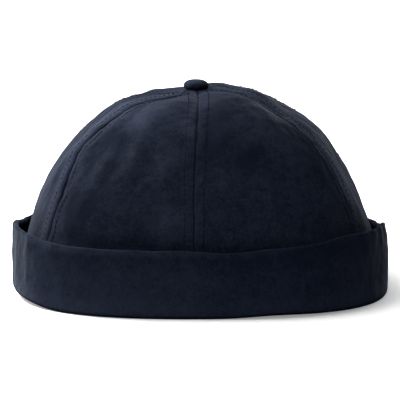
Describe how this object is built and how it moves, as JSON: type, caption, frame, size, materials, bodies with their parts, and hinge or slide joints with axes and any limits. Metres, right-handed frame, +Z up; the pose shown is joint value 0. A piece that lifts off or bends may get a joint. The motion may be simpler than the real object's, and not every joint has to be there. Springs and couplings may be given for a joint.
{
  "type": "fisherman beanie",
  "caption": "Brimless close-fitting cap of sewn crown panels with a turned-up cuff and a covered button on top.",
  "frame": {"origin": "on the surface that the cap rests on, under the middle of the cap", "axes": "+Z up towards the button, -Y towards the front of the cap, +X towards its right side as seen from the front"},
  "size_m": [0.19, 0.214, 0.1058],
  "materials": {
    "crown_cloth": "matt navy cotton twill, washed soft",
    "cuff_cloth": "matt navy cotton twill, two layers",
    "button_cloth": "the same navy cotton stretched over a button"
  },
  "bodies": {
    "root": {"crown_panel_left": "crown_cloth", "crown_panel_front_left": "crown_cloth", "crown_panel_front_right": "crown_cloth", "crown_panel_right": "crown_cloth", "crown_panel_back_right": "crown_cloth", "crown_panel_back_left": "crown_cloth", "cuff": "cuff_cloth", "top_button": "button_cloth"}
  },
  "joints": []
}
